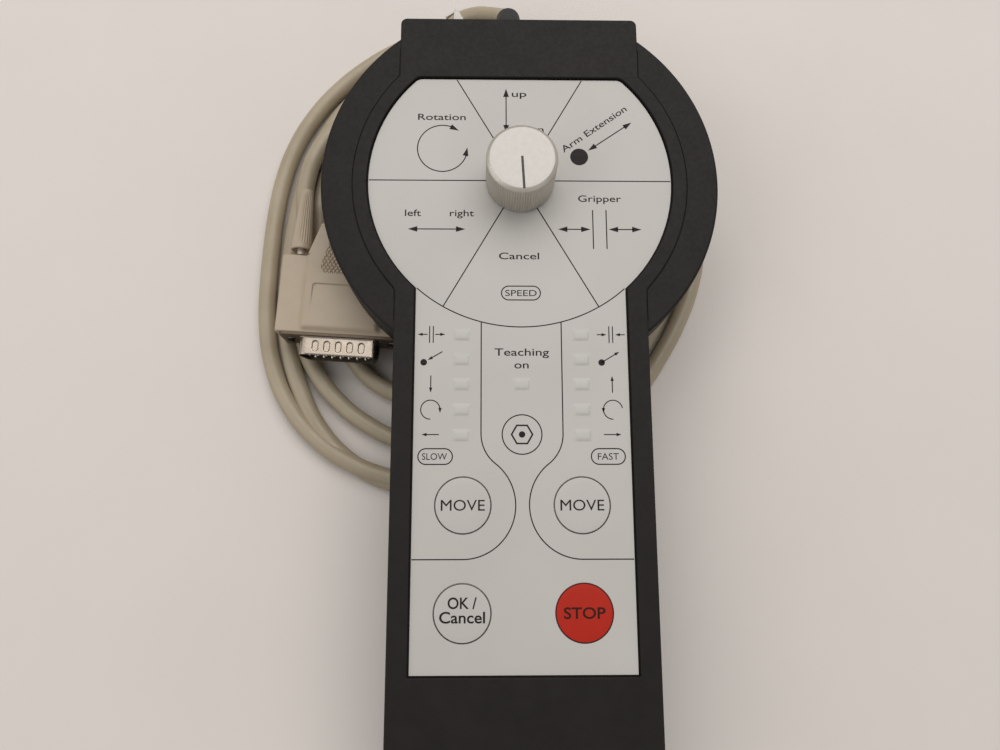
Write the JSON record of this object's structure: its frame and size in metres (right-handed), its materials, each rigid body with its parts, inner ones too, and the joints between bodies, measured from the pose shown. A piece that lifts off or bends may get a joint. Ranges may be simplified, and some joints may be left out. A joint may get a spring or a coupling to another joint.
{
  "type": "robot arm teach pendant",
  "caption": "Handheld teach pendant for a small robot arm: round selector head, membrane keys and indicator windows, lying on its coiled lead with a fifteen-way plug.",
  "frame": {"origin": "centre of the pendant's own box, without its lead and plug", "axes": "+Y along the handle towards the head and the lead's exit, +X to the right of the face, +Z out of the face"},
  "size_m": [0.1565, 0.2726, 0.0541],
  "materials": {
    "housing": "fine matt texture",
    "panel": "smooth satin sheet",
    "screw": "zinc plated",
    "key_pale": "smooth satin",
    "key_red": "smooth satin",
    "window": "satin film over a light guide",
    "board": "solder resist",
    "chip": "moulded",
    "capacitor": "sleeved",
    "header": "moulded",
    "cores": "insulated wire",
    "cable": "satin sheath",
    "switch_body": "moulded",
    "steel": "turned",
    "knob": "fine turned and knurled",
    "boot": "matt",
    "tie": "translucent film",
    "hood": "moulded",
    "plug_metal": "tin plated",
    "contact": "tin plated"
  },
  "bodies": {
    "pendant": {"front_shell": "housing", "rear_shell": "housing", "panel_sheet": "panel", "housing_screws": "screw", "speed_windows_left": "window", "speed_windows_right": "window", "teach_window": "window", "circuit_board": "board", "board_screws": "screw", "board_chips": "chip", "board_capacitors": "capacitor", "indicator_leds": "window", "key_switches": "chip", "board_header": "header", "core_wires": "cores", "sheathed_end": "cable", "cable_clamp": "screw", "clamp_screws": "screw", "selector_body": "switch_body", "selector_bushing": "steel", "selector_washer": "steel", "selector_nut": "steel", "selector_terminals": "screw", "strain_relief": "boot", "cable_lead": "cable", "cable_coil": "cable", "cable_tail": "cable", "cable_tie": "tie", "hood_upper": "hood", "hood_lower": "hood", "hood_screws": "screw", "plug_shell": "plug_metal", "plug_insulator": "chip", "plug_contacts": "contact", "plug_cord_clamp": "screw"},
    "selector": {"selector_shaft": "steel", "selector_rotor": "switch_body", "knob_shell": "knob", "knob_core": "chip", "knob_pointer": "chip", "knob_grub_screw": "screw"},
    "move_left": {"key_move_left": "key_pale"},
    "move_right": {"key_move_right": "key_pale"},
    "confirm": {"key_confirm": "key_pale"},
    "stop": {"key_stop": "key_red"},
    "jackscrew_left": {"thumbscrew_left": "hood", "thumbscrew_shank_left": "steel"},
    "jackscrew_right": {"thumbscrew_right": "hood", "thumbscrew_shank_right": "steel"}
  },
  "joints": [
    {"name": "selector_turn", "type": "hinge", "parent": "pendant", "child": "selector", "pos_m": [0, 0.067, 0.008], "axis": [0, 0, 1], "continuous": true},
    {"name": "move_left_press", "type": "slide", "parent": "pendant", "child": "move_left", "axis": [0, 0, -1], "range_m": [0, 0.0005], "stiffness_N_per_m": 800},
    {"name": "move_right_press", "type": "slide", "parent": "pendant", "child": "move_right", "axis": [0, 0, -1], "range_m": [0, 0.0005], "stiffness_N_per_m": 800},
    {"name": "confirm_press", "type": "slide", "parent": "pendant", "child": "confirm", "axis": [0, 0, -1], "range_m": [0, 0.0005], "stiffness_N_per_m": 800},
    {"name": "stop_press", "type": "slide", "parent": "pendant", "child": "stop", "axis": [0, 0, -1], "range_m": [0, 0.0005], "stiffness_N_per_m": 800},
    {"name": "jackscrew_left_turn", "type": "hinge", "parent": "pendant", "child": "jackscrew_left", "pos_m": [-0.07453, 0.03278, -0.0165], "axis": [0.0602, 0.9982, 0], "continuous": true},
    {"name": "jackscrew_right_turn", "type": "hinge", "parent": "pendant", "child": "jackscrew_right", "pos_m": [-0.04127, 0.03078, -0.0165], "axis": [0.0602, 0.9982, 0], "continuous": true}
  ]
}
